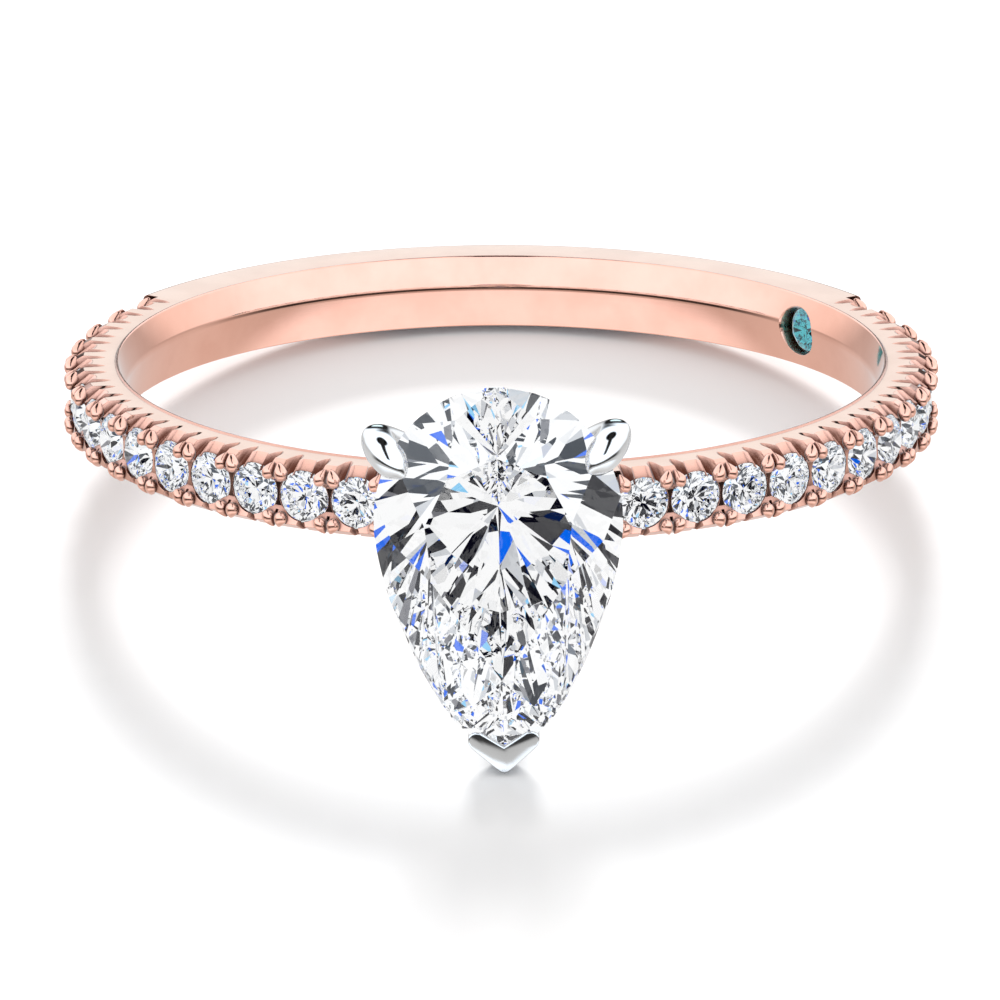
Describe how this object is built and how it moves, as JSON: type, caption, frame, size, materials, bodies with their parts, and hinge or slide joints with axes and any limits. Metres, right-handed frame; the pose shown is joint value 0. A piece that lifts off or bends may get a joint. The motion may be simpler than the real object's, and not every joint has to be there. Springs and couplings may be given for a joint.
{
  "type": "engagement ring",
  "caption": "Slim rose-gold engagement ring with a pear diamond in a clawed white-gold head, claw-set diamonds along both shoulders and a small teal stone set inside the band.",
  "frame": {"origin": "centre of the finger hole, at the middle of the band's width", "axes": "+Z along the finger, towards the pear stone's round end; the head points towards -Y; +X to the right seen from the stone's side"},
  "size_m": [0.0192, 0.0232, 0.0086],
  "materials": {
    "rose_gold": "polished rose gold",
    "white_gold": "polished white gold",
    "diamond": "polished colourless diamond",
    "teal_diamond": "polished teal diamond"
  },
  "bodies": {
    "root": {"shank": "rose_gold", "head_base": "white_gold", "gallery_rail": "white_gold", "claw_left": "white_gold", "claw_right": "white_gold", "v_claw": "white_gold", "centre_stone": "diamond", "signature_stone": "teal_diamond", "melee_left_01": "diamond", "melee_left_02": "diamond", "melee_left_03": "diamond", "melee_left_04": "diamond", "melee_left_05": "diamond", "melee_left_06": "diamond", "melee_left_07": "diamond", "melee_left_08": "diamond", "melee_left_09": "diamond", "melee_left_10": "diamond", "melee_left_11": "diamond", "melee_left_12": "diamond", "melee_left_13": "diamond", "melee_left_14": "diamond", "melee_left_15": "diamond", "melee_right_01": "diamond", "melee_right_02": "diamond", "melee_right_03": "diamond", "melee_right_04": "diamond", "melee_right_05": "diamond", "melee_right_06": "diamond", "melee_right_07": "diamond", "melee_right_08": "diamond", "melee_right_09": "diamond", "melee_right_10": "diamond", "melee_right_11": "diamond", "melee_right_12": "diamond", "melee_right_13": "diamond", "melee_right_14": "diamond", "melee_right_15": "diamond"}
  },
  "joints": []
}
